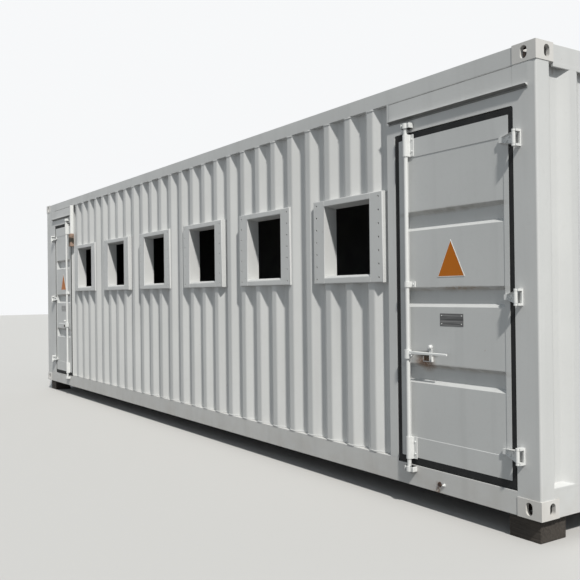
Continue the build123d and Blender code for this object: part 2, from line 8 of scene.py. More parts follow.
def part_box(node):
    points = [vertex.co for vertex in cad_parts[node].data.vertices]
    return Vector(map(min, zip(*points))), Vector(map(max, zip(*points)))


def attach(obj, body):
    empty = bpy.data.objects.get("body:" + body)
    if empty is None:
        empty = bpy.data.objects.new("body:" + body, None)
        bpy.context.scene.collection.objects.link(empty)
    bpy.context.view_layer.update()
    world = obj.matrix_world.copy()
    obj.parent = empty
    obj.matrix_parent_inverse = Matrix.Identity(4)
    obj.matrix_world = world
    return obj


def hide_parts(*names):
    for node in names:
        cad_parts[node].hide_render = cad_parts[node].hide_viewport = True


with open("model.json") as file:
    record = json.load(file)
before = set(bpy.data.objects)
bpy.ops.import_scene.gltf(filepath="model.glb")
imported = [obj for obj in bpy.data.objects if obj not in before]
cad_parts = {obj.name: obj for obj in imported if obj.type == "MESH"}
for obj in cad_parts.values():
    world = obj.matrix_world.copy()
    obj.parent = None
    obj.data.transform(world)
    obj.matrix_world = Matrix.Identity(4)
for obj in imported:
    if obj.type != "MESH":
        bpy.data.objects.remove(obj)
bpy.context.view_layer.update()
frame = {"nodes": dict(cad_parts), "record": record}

# Camera
# It stands where the photograph was taken, beside the near door at eye
# height, and looks along the long wall towards its far corner.
frame_width_px = 580.0
focal_length_px = 771.419
camera_place = (8.02341, -4.97868, 1.53191)
camera_heading = radians(56.3544)
camera_tilt = radians(90.2901)
camera_roll = radians(-0.6758)
camera_data = bpy.data.cameras.new("camera")
camera_data.sensor_width = 36.0
camera_data.sensor_fit = "HORIZONTAL"
camera_data.lens = focal_length_px / frame_width_px * camera_data.sensor_width
camera_data.clip_end = 300.0
camera = bpy.data.objects.new("camera", camera_data)
camera.matrix_world = (
    Matrix.Translation(camera_place)
    @ Matrix.Rotation(camera_heading, 4, "Z")
    @ Matrix.Rotation(camera_tilt, 4, "X")
    @ Matrix.Rotation(camera_roll, 4, "Z")
)
bpy.context.scene.collection.objects.link(camera)
bpy.context.scene.camera = camera
bpy.context.scene.view_settings.view_transform = "Standard"

# Studio
# One soft sun stands high beyond the near end, so that the end wall is bright
# and the long wall is grazed, with an even sky and a pale floor.
sun_data = bpy.data.lights.new("sun", "SUN")
sun_data.energy = 3.65
sun_data.angle = radians(2.5)
sun_data.color = (1.0, 0.982, 0.932)
sun_ray = Vector((-3.0, 1.0, -3.4))
sun = bpy.data.objects.new("sun", sun_data)
sun.rotation_euler = sun_ray.to_track_quat("-Z", "Y").to_euler()
bpy.context.scene.collection.objects.link(sun)


def seen_as(tree, lighting, picture, surface):
    """Light the scene with one shader, and show another one to the camera and in gloss."""
    path = tree.nodes.new("ShaderNodeLightPath")
    looked_at = path.outputs["Is Camera Ray"]
    for kind in ("Is Glossy Ray", "Is Transmission Ray"):
        wider = tree.nodes.new("ShaderNodeMath")
        wider.operation = "MAXIMUM"
        tree.links.new(looked_at, wider.inputs[0])
        tree.links.new(path.outputs[kind], wider.inputs[1])
        looked_at = wider.outputs[0]
    either = tree.nodes.new("ShaderNodeMixShader")
    tree.links.new(looked_at, either.inputs[0])
    tree.links.new(lighting.outputs[0], either.inputs[1])
    tree.links.new(picture.outputs[0], either.inputs[2])
    tree.links.new(either.outputs[0], surface)


world = bpy.data.worlds.new("studio")
bpy.context.scene.world = world
world.use_nodes = True
world_nodes = world.node_tree.nodes
sky = world_nodes["Background"]
sky.inputs["Color"].default_value = (0.83, 0.93, 1.0, 1.0)
sky.inputs["Strength"].default_value = 0.39
backdrop = world_nodes.new("ShaderNodeBackground")
backdrop.inputs["Color"].default_value = (0.93, 0.94, 0.95, 1.0)
backdrop.inputs["Strength"].default_value = 1.0
seen_as(world.node_tree, sky, backdrop, world_nodes["World Output"].inputs["Surface"])

floor_half = 60.0
floor_mesh = bpy.data.meshes.new("studio_floor")
bm = bmesh.new()
bmesh.ops.create_grid(bm, x_segments=1, y_segments=1, size=floor_half)
bm.to_mesh(floor_mesh)
bm.free()
floor = bpy.data.objects.new("studio_floor", floor_mesh)
bpy.context.scene.collection.objects.link(floor)
floor_grey = bpy.data.materials.new("floor_grey")
floor_grey.use_nodes = True
floor_nodes = floor_grey.node_tree.nodes
floor_seen = floor_nodes["Principled BSDF"]
floor_seen.inputs["Base Color"].default_value = (0.56, 0.55, 0.54, 1.0)
floor_seen.inputs["Roughness"].default_value = 0.9
floor_bounce = floor_nodes.new("ShaderNodeBsdfDiffuse")
floor_bounce.inputs["Color"].default_value = (0.19, 0.188, 0.186, 1.0)
floor_surface = floor_nodes["Material Output"].inputs["Surface"]
seen_as(floor_grey.node_tree, floor_bounce, floor_seen, floor_surface)
floor_mesh.materials.append(floor_grey)

# Support blocks
# Four short stacks of sawn timber that keep the corner castings off the yard.
# The wood is dry, with long grain and end checks, and is coloured near-black as
# painted shade of the shadow under the container.


def shader_of(material):
    return material.node_tree.nodes["Principled BSDF"]


def blank_material(name, roughness):
    """A new material, its node tree and the place on the piece that patterns read."""
    material = bpy.data.materials.new(name)
    material.use_nodes = True
    shader_of(material).inputs["Roughness"].default_value = roughness
    tree = material.node_tree
    place = tree.nodes.new("ShaderNodeTexCoord").outputs["Object"]
    return material, tree, place


def stretched(tree, place, scale):
    mapping = tree.nodes.new("ShaderNodeMapping")
    mapping.inputs["Scale"].default_value = scale
    tree.links.new(place, mapping.inputs["Vector"])
    return mapping.outputs["Vector"]


def cloud(tree, place, scale=1.0, detail=5.0, low=0.35, high=0.65):
    """Noise between 0 and 1, with its contrast drawn out between low and high."""
    noise = tree.nodes.new("ShaderNodeTexNoise")
    noise.inputs["Scale"].default_value = scale
    noise.inputs["Detail"].default_value = detail
    tree.links.new(place, noise.inputs["Vector"])
    spread = tree.nodes.new("ShaderNodeMapRange")
    spread.inputs["From Min"].default_value = low
    spread.inputs["From Max"].default_value = high
    tree.links.new(noise.outputs["Fac"], spread.inputs["Value"])
    return spread.outputs["Result"]


def times(tree, first, second):
    product = tree.nodes.new("ShaderNodeMath")
    product.operation = "MULTIPLY"
    for socket, value in zip(product.inputs, (first, second)):
        if isinstance(value, float):
            socket.default_value = value
        else:
            tree.links.new(value, socket)
    return product.outputs[0]


def tinted(tree, under, mask, colour):
    """The colour under, covered with another colour as far as the mask says."""
    mix = tree.nodes.new("ShaderNodeMix")
    mix.data_type = "RGBA"
    tree.links.new(mask, mix.inputs["Factor"])
    if isinstance(under, tuple):
        mix.inputs["A"].default_value = (*under, 1.0)
    else:
        tree.links.new(under, mix.inputs["A"])
    mix.inputs["B"].default_value = (*colour, 1.0)
    return mix.outputs["Result"]


def coloured(material, colour):
    material.node_tree.links.new(colour, shader_of(material).inputs["Base Color"])


def roughened(material, height, strength, distance):
    """Bump the surface with a pattern, by a height in metres."""
    tree = material.node_tree
    bump = tree.nodes.new("ShaderNodeBump")
    bump.inputs["Strength"].default_value = strength
    bump.inputs["Distance"].default_value = distance
    tree.links.new(height, bump.inputs["Height"])
    tree.links.new(bump.outputs["Normal"], shader_of(material).inputs["Normal"])


def worked_copy(node):
    """Mesh of a CAD node with its doubles merged and its flat faces joined."""
    bm = bmesh.new()
    bm.from_mesh(frame["nodes"][node].data)
    bmesh.ops.remove_doubles(bm, verts=bm.verts, dist=0.00002)
    bmesh.ops.dissolve_limit(
        bm,
        angle_limit=radians(0.5),
        verts=bm.verts,
        edges=bm.edges,
        use_dissolve_boundaries=False,
    )
    return bm


def bevelled(bm, edges, width, segments):
    bmesh.ops.bevel(
        bm,
        geom=edges,
        offset=width,
        offset_type="OFFSET",
        segments=segments,
        profile=0.5,
        affect="EDGES",
        clamp_overlap=True,
        material=-1,
    )


def rounded(bm, width, segments=2, low=40.0, high=180.0, pick=None):
    """Bevel the edges that fold between two angles in degrees."""
    edges = []
    for edge in bm.edges:
        if not edge.is_manifold:
            continue
        fold = edge.calc_face_angle(0.0)
        if radians(low) < fold < radians(high) and (pick is None or pick(edge)):
            edges.append(edge)
    bevelled(bm, edges, width, segments)


def placed(bm, name, body, materials, replaced=None, crease=35.0):
    """Turn a bmesh into a finished piece that rides on a body."""
    mesh = bpy.data.meshes.new(name)
    bm.to_mesh(mesh)
    bm.free()
    mesh.shade_smooth()
    mesh.set_sharp_from_angle(angle=radians(crease))
    for material in materials:
        mesh.materials.append(material)
    piece = bpy.data.objects.new(name, mesh)
    bpy.context.scene.collection.objects.link(piece)
    even = piece.modifiers.new("even_shading", "WEIGHTED_NORMAL")
    even.keep_sharp = True
    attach(piece, body)
    if replaced:
        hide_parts(replaced)


# The timber colours are near-black: painted shade for the shadow under the container.
shaded_timber, tree, place = blank_material("support_timber", roughness=0.85)
along_grain = stretched(tree, place, (4.0, 60.0, 60.0))
grain = cloud(tree, along_grain, detail=8.0, low=0.4, high=0.6)
blotch = cloud(tree, place, scale=7.0)
colour = tinted(tree, (0.045, 0.037, 0.031), grain, (0.020, 0.016, 0.013))
colour = tinted(tree, colour, times(tree, blotch, 0.5), (0.065, 0.055, 0.046))
coloured(shaded_timber, colour)
roughened(shaded_timber, grain, strength=0.6, distance=0.004)
sawn_edge = 0.006
bm = worked_copy("support_blocks")
rounded(bm, sawn_edge)
placed(bm, "timber_blocks", "cabin", [shaded_timber], "support_blocks")

# Underframe
# Pressed channel cross members and the underside of the deck, in black
# bitumen paint that has gathered yard dust.


def finish_node(node, material):
    """Give a CAD node that keeps its own shape a better material."""
    mesh = frame["nodes"][node].data
    mesh.materials.clear()
    mesh.materials.append(material)


black_coat, tree, place = blank_material("underframe_black", roughness=0.7)
dust = times(tree, cloud(tree, place, scale=5.0, detail=6.0, low=0.4, high=0.75), 0.5)
coloured(black_coat, tinted(tree, (0.028, 0.027, 0.026), dust, (0.10, 0.085, 0.07)))
roughened(black_coat, cloud(tree, place, scale=120.0), strength=0.3, distance=0.002)
finish_node("floor_cross_members", black_coat)

# Shell paint
# Two coats of warm off-white over primed steel, with faint clouds from the
# spray gun, thin run marks, dust low down and a few small rust specks.


def shaded(colour, share):
    return tuple(min(1.0, channel * share) for channel in colour)


def sprayed_paint(name, colour, roughness=0.42, dust_top=0.42, speck=1.0, gun_streaks=0.35):
    """Sprayed paint whose dust fades out from dust_bottom up to dust_top, in metres."""
    material, tree, place = blank_material(name, roughness)
    wide = cloud(tree, place, scale=0.9, detail=4.0, low=0.3, high=0.7)
    tone = tinted(tree, shaded(colour, 0.94), wide, shaded(colour, 1.05))
    upright = stretched(tree, place, (9.0, 9.0, 0.55))
    runs = cloud(tree, upright, detail=6.0, low=0.52, high=0.78)
    tone = tinted(tree, tone, times(tree, runs, gun_streaks), shaded(colour, 0.80))
    fine = cloud(tree, place, scale=26.0, detail=6.0, low=0.55, high=0.80)
    tone = tinted(tree, tone, times(tree, fine, 0.25), shaded(colour, 0.86))
    split = tree.nodes.new("ShaderNodeSeparateXYZ")
    tree.links.new(place, split.inputs[0])
    dust_bottom = 0.12
    fall = tree.nodes.new("ShaderNodeMapRange")
    fall.inputs["From Min"].default_value = dust_top
    fall.inputs["From Max"].default_value = dust_bottom
    tree.links.new(split.outputs["Z"], fall.inputs["Value"])
    patches = cloud(tree, place, scale=7.0, detail=6.0, low=0.35, high=0.75)
    low_dust = times(tree, fall.outputs["Result"], patches)
    tone = tinted(tree, tone, times(tree, low_dust, 0.30), (0.40, 0.35, 0.29))
    spots = cloud(tree, place, scale=11.0, detail=8.0, low=0.735, high=0.80)
    tone = tinted(tree, tone, times(tree, spots, speck), (0.22, 0.10, 0.045))
    coloured(material, tone)
    gloss = tree.nodes.new("ShaderNodeMapRange")
    gloss.inputs["To Min"].default_value = roughness - 0.07
    gloss.inputs["To Max"].default_value = roughness + 0.12
    sheen = cloud(tree, place, scale=3.0, low=0.3, high=0.7)
    tree.links.new(sheen, gloss.inputs["Value"])
    tree.links.new(gloss.outputs["Result"], shader_of(material).inputs["Roughness"])
    orange_peel = cloud(tree, place, scale=70.0, detail=4.0, low=0.2, high=0.8)
    roughened(material, orange_peel, strength=0.10, distance=0.002)
    return material


shell_paint = sprayed_paint("shell_paint", (0.620, 0.622, 0.617), speck=0.4)

# Corner castings
# Cast steel blocks with an oval lock hole in each face, welded to the posts
# and rails. Their holes are worn to brown rust by lifting gear.


def mottled(
    name, roughness, ground, patches, scale=1.0, detail=5.0, low=0.35, high=0.65,
    stretch=None, cover=1.0, bump=None,
):
    """A finish whose ground colour shows between patches of a second colour."""
    material, tree, place = blank_material(name, roughness)
    if stretch:
        place = stretched(tree, place, stretch)
    pattern = cloud(tree, place, scale, detail, low, high)
    coloured(material, tinted(tree, ground, times(tree, pattern, cover), patches))
    if bump:
        roughened(material, pattern, *bump)
    return material


casting_paint = sprayed_paint("casting_paint", (0.680, 0.662, 0.640), roughness=0.5)
hole_rust = mottled(
    "casting_hole_rust", 0.9, (0.012, 0.010, 0.009), (0.040, 0.022, 0.014),
    scale=60.0, detail=6.0, low=0.4, high=0.62, bump=(0.6, 0.003),
)
casting_size = Vector((0.182, 0.166, 0.118))
casting_skin = 0.020
casting_edge = 0.006
for node in ("bottom_castings", "top_castings"):
    outer_low, outer_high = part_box(node)
    bm = worked_copy(node)
    rounded(bm, casting_edge, 3)
    for face in bm.faces:
        spot = face.calc_center_median()
        in_hole = True
        for axis in range(3):
            depth = min(spot[axis] - outer_low[axis], outer_high[axis] - spot[axis])
            if not casting_skin < depth < casting_size[axis] - casting_skin:
                in_hole = False
        face.material_index = 1 if in_hole else 0
    placed(bm, node + "_cast", "cabin", [casting_paint, hole_rust], node)

# Posts and end rails
# Folded and rolled steel sections. The folds have a radius of a few
# millimetres, and the sections are welded to the castings.
post_corner_radius = 0.012
fold_radius = 0.005
long_edge = 1.0
near_face = 0.002
post_low, post_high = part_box("corner_posts")


def at_post_corner(edge):
    """Whether an edge is an outer upright corner of a post."""
    first, second = (vertex.co for vertex in edge.verts)
    upright = abs(first.z - second.z) > long_edge
    at_end = min(first.x - post_low.x, post_high.x - first.x) < near_face
    at_side = min(first.y - post_low.y, post_high.y - first.y) < near_face
    return upright and at_end and at_side


bm = worked_copy("corner_posts")
rounded(bm, post_corner_radius, 4, pick=at_post_corner)
placed(bm, "corner_posts_folded", "cabin", [shell_paint], "corner_posts")
for node in ("bottom_end_rails", "top_side_rails", "top_end_rails"):
    bm = worked_copy(node)
    rounded(bm, fold_radius, 3)
    placed(bm, node + "_folded", "cabin", [shell_paint], node)

# Bottom side rails
# Heavy pressed rails under the long walls. Brown water from the earthing boss
# has run down the near one.


def stained(material, centre, spread, colour, grain_scale=60.0, low=0.38, high=0.62):
    """Paint a soft blot round one place, broken up by noise, over a material."""
    tree = material.node_tree
    place = tree.nodes["Texture Coordinate"].outputs["Object"]
    under = shader_of(material).inputs["Base Color"].links[0].from_socket
    shift = tree.nodes.new("ShaderNodeVectorMath")
    shift.operation = "SUBTRACT"
    tree.links.new(place, shift.inputs[0])
    shift.inputs[1].default_value = centre
    squeeze = tree.nodes.new("ShaderNodeVectorMath")
    squeeze.operation = "DIVIDE"
    tree.links.new(shift.outputs[0], squeeze.inputs[0])
    squeeze.inputs[1].default_value = spread
    reach = tree.nodes.new("ShaderNodeVectorMath")
    reach.operation = "LENGTH"
    tree.links.new(squeeze.outputs[0], reach.inputs[0])
    fade = tree.nodes.new("ShaderNodeMapRange")
    fade.inputs["From Min"].default_value = 1.0
    fade.inputs["From Max"].default_value = 0.25
    tree.links.new(reach.outputs["Value"], fade.inputs["Value"])
    broken = cloud(tree, place, grain_scale, 6.0, low, high)
    coloured(material, tinted(tree, under, times(tree, fade.outputs["Result"], broken), colour))


boss_x = 4.162
boss_z = 0.209
run_drop = 0.044
run_shift = -0.020
run_spread = (0.050, 0.050, 0.070)
rail_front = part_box("bottom_side_rails")[0].y
rail_paint = sprayed_paint("rail_paint", (0.618, 0.612, 0.600))
run_centre = (boss_x + run_shift, rail_front, boss_z - run_drop)
stained(rail_paint, run_centre, run_spread, (0.20, 0.115, 0.07))
pressed_edge = 0.003
bm = worked_copy("bottom_side_rails")
rounded(bm, pressed_edge)
placed(bm, "bottom_side_rails_folded", "cabin", [rail_paint], "bottom_side_rails")

# Corrugated skins
# Pressed steel sheet with trapezoid waves, butt-welded to the rails. Each
# bend has the press tool's radius.
bend_radius = 0.011
for node in ("front_wall_bands", "front_wall_piers", "back_wall", "end_walls"):
    bm = worked_copy(node)
    rounded(bm, bend_radius, 3, low=15.0, high=45.0)
    placed(bm, node + "_pressed", "cabin", [shell_paint], node, crease=30.0)
finish_node("roof_sheet", shell_paint)

# Sealant at the corrugation
# A line of caulk covers the weld where each long skin meets its rails,
# painted over with the shell.
caulk_height = 0.011
caulk_swell = 0.0038
caulk_edge = 0.002


def skin_slice(node, low, high, swell):
    """A slice of a skin between two heights, swollen into a bead."""
    bm = worked_copy(node)
    for height, direction in ((low, -1.0), (high, 1.0)):
        bmesh.ops.bisect_plane(
            bm,
            geom=bm.verts[:] + bm.edges[:] + bm.faces[:],
            dist=0.000001,
            plane_co=(0.0, 0.0, height),
            plane_no=(0.0, 0.0, direction),
            clear_outer=True,
        )
    bmesh.ops.holes_fill(bm, edges=[edge for edge in bm.edges if edge.is_boundary], sides=0)
    bm.normal_update()
    for vertex in bm.verts:
        sideways = Vector((vertex.normal.x, vertex.normal.y, 0.0))
        if sideways.length > 0.2:
            vertex.co += sideways.normalized() * swell
    return bm


skin_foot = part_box("front_wall_bands")[0].z
skin_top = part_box("front_wall_bands")[1].z
for node in ("front_wall_bands", "back_wall"):
    for level, low, high in (
        ("low", skin_foot, skin_foot + caulk_height),
        ("high", skin_top - caulk_height, skin_top),
    ):
        bm = skin_slice(node, low, high, caulk_swell)
        rounded(bm, caulk_edge, 1)
        placed(bm, f"{node}_caulk_{level}", "cabin", [shell_paint])

# Lips of the end rails
# The top end rails are folded down over the corrugated sheet in a short lip,
# and the bottom ones are folded up round it in a sloped ledge.
lip_drop = 0.026
lip_thickness = 0.016
ledge_rise = 0.014
ledge_depth = 0.050
ledge_slope = 0.019
lip_proud = 0.0005
into_rail = 0.006
lip_edge = 0.003


def bar(bm, low, high):
    """A straight bar between two corners, added to a bmesh."""
    low = Vector(low)
    high = Vector(high)
    middle = Matrix.Translation((low + high) / 2)
    bmesh.ops.create_cube(bm, size=1.0, matrix=middle @ Matrix.Diagonal((*(high - low), 1.0)))


end_low, end_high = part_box("top_end_rails")
skin_low, skin_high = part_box("end_walls")
bm = bmesh.new()
for z0, z1, y0, y1, thickness in (
    (skin_top - lip_drop, skin_top + into_rail, end_low.y, end_high.y, lip_thickness),
    (skin_foot - into_rail, skin_foot + ledge_rise, skin_low.y, skin_high.y, ledge_depth),
):
    bar(bm, (end_low.x - lip_proud, y0, z0), (end_low.x + thickness, y1, z1))
    bar(bm, (end_high.x - thickness, y0, z0), (end_high.x + lip_proud, y1, z1))
for vertex in bm.verts:
    on_ledge = abs(vertex.co.z - skin_foot - ledge_rise) < 0.001
    at_back = abs(vertex.co.x) < end_high.x - ledge_depth / 2
    if on_ledge and at_back:
        vertex.co.z += ledge_slope
rounded(bm, lip_edge)
placed(bm, "end_rail_lips", "cabin", [shell_paint])

# Window frames
# Each is a folded 6 mm steel frame with wide bolt flanges at both sides,
# welded into a cut in the corrugation.
frame_paint = sprayed_paint(
    "frame_paint", (0.630, 0.632, 0.627), roughness=0.38, dust_top=0.3, speck=0.6
)
window_count = 6
opening_half_width = 0.2915
opening_half_height = 0.295
reveal_radius = 0.009
rim_radius = 0.008
on_face = 0.001
for number in range(1, window_count + 1):
    node = f"window_frame_{number}"
    low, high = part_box(node)
    middle = (low + high) / 2

    def at_front(edge):
        return all(vertex.co.y - low.y < on_face for vertex in edge.verts)

    def at_opening(edge):
        """Whether an edge is a fold of the face into the opening."""
        return at_front(edge) and all(
            abs(vertex.co.x - middle.x) < opening_half_width + 0.002
            and abs(vertex.co.z - middle.z) < opening_half_height + 0.002
            for vertex in edge.verts
        )

    def at_rim(edge):
        """Whether an edge is on the outer rim of the face."""
        for spot in (vertex.co for vertex in edge.verts):
            across = min(spot.x - low.x, high.x - spot.x)
            upwards = min(spot.z - low.z, high.z - spot.z)
            if min(across, upwards) >= on_face:
                return False
        return at_front(edge)

    bm = worked_copy(node)
    rounded(bm, reveal_radius, 4, pick=at_opening)
    rounded(bm, rim_radius, 4, pick=at_rim)
    placed(bm, node + "_folded", "cabin", [frame_paint], node)

# Window sills and heads
# A sloped plate closes the foot of each opening, so that rain runs out, and a
# second one closes the head. Both are welded in and painted with the frame.
sill_rise = 0.016
sill_nose = 0.014
head_drop = 0.014
edge_inset = 0.005
opening_slack = 0.0005
for number in range(1, window_count + 1):
    low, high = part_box(f"window_frame_{number}")
    middle = (low + high) / 2
    front_y = low.y + edge_inset
    left_x = middle.x - opening_half_width + opening_slack
    right_x = middle.x + opening_half_width - opening_slack
    sill_z = middle.z - opening_half_height + opening_slack
    head_z = middle.z + opening_half_height - opening_slack
    sill_section = (
        (front_y, sill_z),
        (high.y, sill_z),
        (high.y, sill_z + sill_rise),
        (front_y + sill_nose, sill_z + sill_rise),
    )
    head_section = ((front_y, head_z), (high.y, head_z), (high.y, head_z - head_drop))
    bm = bmesh.new()
    for section in (sill_section, head_section):
        cap = bm.faces.new([bm.verts.new((left_x, y, z)) for y, z in section])
        made = bmesh.ops.extrude_face_region(bm, geom=[cap])
        for item in made["geom"]:
            if isinstance(item, bmesh.types.BMVert):
                item.co.x = right_x
    bmesh.ops.recalc_face_normals(bm, faces=bm.faces)
    placed(bm, f"window_sill_{number}", "cabin", [frame_paint])

# Weld lines on the window frames
# The top and bottom strips sit between full-height side flanges, so a ground
# weld runs up and down from each corner of the opening.
weld_half = 0.0022
weld_proud = 0.0012
weld_offset = 0.004
weld_end = 0.004
weld_root = 0.002
weld_edge = 0.001
for number in range(1, window_count + 1):
    low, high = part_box(f"window_frame_{number}")
    middle = (low + high) / 2
    opening_top = middle.z + opening_half_height + reveal_radius
    opening_foot = middle.z - opening_half_height - reveal_radius
    bm = bmesh.new()
    for across in (-1.0, 1.0):
        x = middle.x + across * (opening_half_width + weld_offset)
        for z0, z1 in ((opening_top, high.z - weld_end), (low.z + weld_end, opening_foot)):
            bar(
                bm,
                (x - weld_half, low.y - weld_proud, z0),
                (x + weld_half, low.y + weld_root, z1),
            )
    rounded(bm, weld_edge)
    placed(bm, f"window_welds_{number}", "cabin", [frame_paint])

# Door jambs and heads
# Flat steel plate beside and over the doors, folded over insulation and
# welded to the posts and the top rail.
finish_node("door_jambs", shell_paint)
finish_node("door_heads", shell_paint)

# Rain hoods
# A folded strip over each door, welded to the top rail, with a drip nose. Its
# downward faces are painted dark grey as painted shade under the nose.
# Dark grey paint for the hoods' downward faces and foot beads: painted shade.
underside_shade_paint = sprayed_paint("underside_painted_shade", (0.20, 0.20, 0.195), roughness=0.6, speck=0.4)
hood_edge = 0.0015
bm = worked_copy("rain_hoods")
# Faces turned downwards take the painted shade.
for face in bm.faces:
    face.material_index = 1 if face.normal.z < -0.3 else 0
rounded(bm, hood_edge, low=8.0)
hood_finishes = [shell_paint, underside_shade_paint]
placed(bm, "rain_hoods_folded", "cabin", hood_finishes, "rain_hoods")

# Hood seams
# A dark strip along the top of each hood and at each end of the door heads is
# painted shadow of the gap at the joint, and a dark grey bead under each hood's
# foot is painted shade. Filler fairs the outer end into the corner post.
# Dark grey strip material: painted shadow of the gap along the joint.
joint_shadow_strip = mottled(
    "joint_shadow_strip", 0.8, (0.22, 0.218, 0.215), (0.36, 0.355, 0.345), scale=30.0, low=0.4, high=0.7
)
far_hood_length = 1.006
near_hood_length = 1.268
seam_height = 0.0045
seam_width = 0.0012
seam_proud = 0.0035
seam_edge = 0.0005
upright_seam = 0.125
into_wall = 0.001
hood_low, hood_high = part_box("rain_hoods")
head_low, head_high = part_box("door_heads")
wall_front = head_low.y
hood_spans = (
    (hood_low.x, hood_low.x + far_hood_length),
    (hood_high.x - near_hood_length, hood_high.x),
)
bm = bmesh.new()
for x0, x1 in hood_spans:
    bar(
        bm,
        (max(x0, head_low.x), wall_front - seam_proud, hood_high.z - into_wall),
        (min(x1, head_high.x), wall_front + into_wall, hood_high.z + seam_height),
    )
for x in (head_low.x, head_high.x - seam_width):
    bar(
        bm,
        (x, wall_front - seam_proud, hood_high.z - upright_seam),
        (x + seam_width, wall_front - 0.002, hood_high.z),
    )
rounded(bm, seam_edge, 1)
placed(bm, "hood_seams", "cabin", [joint_shadow_strip])

# A dark grey bead under each hood's foot: painted shade in the corner beneath the hood.
bead_height = 0.012
bead_proud = 0.004
bead_edge = 0.003
bm = bmesh.new()
for x0, x1 in hood_spans:
    bar(
        bm,
        (x0, wall_front - bead_proud, hood_low.z - bead_height),
        (x1, wall_front + into_wall, hood_low.z + into_wall),
    )
rounded(bm, bead_edge)
placed(bm, "hood_foot_beads", "cabin", [underside_shade_paint])

hood_plate = 0.003
fairing_length = 0.045
knee_z = hood_high.z - 0.127
plate_front = wall_front - hood_plate
bm = bmesh.new()
for end_x, outwards in ((hood_low.x, -1.0), (hood_high.x, 1.0)):
    tip_x = end_x + outwards * fairing_length
    wall_top = bm.verts.new((end_x, wall_front, hood_high.z))
    wall_foot = bm.verts.new((end_x, wall_front, knee_z - fairing_length))
    proud_top = bm.verts.new((end_x, plate_front, hood_high.z))
    proud_foot = bm.verts.new((end_x, plate_front, knee_z))
    tip_top = bm.verts.new((tip_x, wall_front, hood_high.z))
    tip_foot = bm.verts.new((tip_x, wall_front, knee_z))
    bm.faces.new((proud_top, proud_foot, tip_foot, tip_top))
    bm.faces.new((proud_foot, wall_foot, tip_foot))
    bm.faces.new((wall_top, proud_top, tip_top))
    bm.faces.new((wall_top, wall_foot, proud_foot, proud_top))
    bm.faces.new((wall_top, tip_top, tip_foot, wall_foot))
bmesh.ops.recalc_face_normals(bm, faces=bm.faces)
placed(bm, "hood_fairings", "cabin", [shell_paint])

# Linings, deck and ceiling
# Boards line the shell over battens, coloured near-black as painted shade of
# the unlit inside, and the deck is plywood screwed to the cross members.
# Near-black lining colour: painted shade of the unlit inside.
lining_painted_shade = mottled(
    "lining_board", 0.8, (0.105, 0.105, 0.105), (0.135, 0.134, 0.13), scale=3.0
)
lining_nodes = (
    "front_lining_bands",
    "front_lining_piers",
    "back_lining",
    "end_linings",
    "ceiling_lining",
)
for node in lining_nodes:
    finish_node(node, lining_painted_shade)
plywood = mottled(
    "deck_plywood", 0.7, (0.20, 0.125, 0.075), (0.12, 0.07, 0.04),
    detail=7.0, low=0.4, high=0.62, stretch=(1.2, 22.0, 22.0),
)
finish_node("floor_deck", plywood)

# Door leaves
# Pressed sheet over insulation, with three grooves and a raised border. A darker
# band along the top of each groove is dirt and painted shade, and rust and a
# near-black smear lie round the near door's lever.
towards_hinge = {"right": 1.0, "left": -1.0}
groove_tops = (1.016, 1.554, 2.095)
groove_radius = 0.006
leaf_edge = 0.002
leaf_border = 0.02
into_groove = 0.013
dirt_depth = 0.055
groove_dirt_and_shade = (0.38, 0.365, 0.345)
rust_flecks = (0.33, 0.24, 0.17)
rust_halo = (0.30, 0.22, 0.165)
rust_brown = (0.17, 0.085, 0.045)
near_black_smear = (0.030, 0.026, 0.022)
for side in towards_hinge:
    leaf_low, leaf_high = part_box(f"{side}_door_leaf")
    sign_low, sign_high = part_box(f"{side}_sign_plate")
    middle_x = (sign_low.x + sign_high.x) / 2
    dirt_y = leaf_low.y + into_groove
    leaf_paint = sprayed_paint(
        f"{side}_leaf_paint", (0.600, 0.604, 0.600), roughness=0.40, dust_top=0.5, speck=0.7
    )
    # A darker band on each groove's upper slope: dirt and painted shade.
    for top in groove_tops:
        stained(
            leaf_paint, (middle_x, dirt_y, top - 0.004), (0.75, dirt_depth, 0.030),
            groove_dirt_and_shade, grain_scale=14.0, low=0.20, high=0.60,
        )
    stained(
        leaf_paint, (middle_x + 0.09, dirt_y, groove_tops[1] + 0.004), (0.26, dirt_depth, 0.016),
        rust_flecks,
    )
    if side == "right":
        lever_stain = (4.026, dirt_y, 1.038)
        under_lever_smear = (4.036, dirt_y, 1.090)
        stained(
            leaf_paint, lever_stain, (0.125, dirt_depth, 0.092),
            rust_halo, low=0.28, high=0.48,
        )
        stained(
            leaf_paint, lever_stain, (0.104, dirt_depth, 0.076),
            rust_brown, grain_scale=95.0, low=0.32, high=0.52,
        )
        # A near-black smear on the leaf just under the lever.
        stained(
            leaf_paint, under_lever_smear, (0.130, dirt_depth, 0.034),
            near_black_smear, grain_scale=55.0, low=0.10, high=0.35,
        )

    def inside_border(edge):
        return all(
            leaf_low.x + leaf_border < vertex.co.x < leaf_high.x - leaf_border
            and leaf_low.z + leaf_border < vertex.co.z < leaf_high.z - leaf_border
            for vertex in edge.verts
        )

    def long_at_border(edge):
        return edge.calc_length() > 0.3 and not inside_border(edge)

    bm = worked_copy(f"{side}_door_leaf")
    rounded(bm, groove_radius, 3, low=20.0, pick=inside_border)
    rounded(bm, leaf_edge, pick=long_at_border)
    placed(
        bm, f"{side}_leaf_pressed", f"{side}_door", [leaf_paint], f"{side}_door_leaf"
    )

# Door seals
# A black rubber strip with a soft round lip, clamped all round each leaf. Its
# surface has bloomed a little grey.
rubber = mottled(
    "seal_rubber", 0.75, (0.010, 0.011, 0.012), (0.035, 0.035, 0.034),
    scale=14.0, detail=6.0, low=0.45, high=0.75, cover=0.4,
)
shader_of(rubber).inputs["Specular IOR Level"].default_value = 0.25
lip_radius = 0.006
for side in towards_hinge:
    bm = worked_copy(f"{side}_door_seal")
    rounded(bm, lip_radius, 3)
    placed(bm, f"{side}_seal_lip", f"{side}_door", [rubber], f"{side}_door_seal")
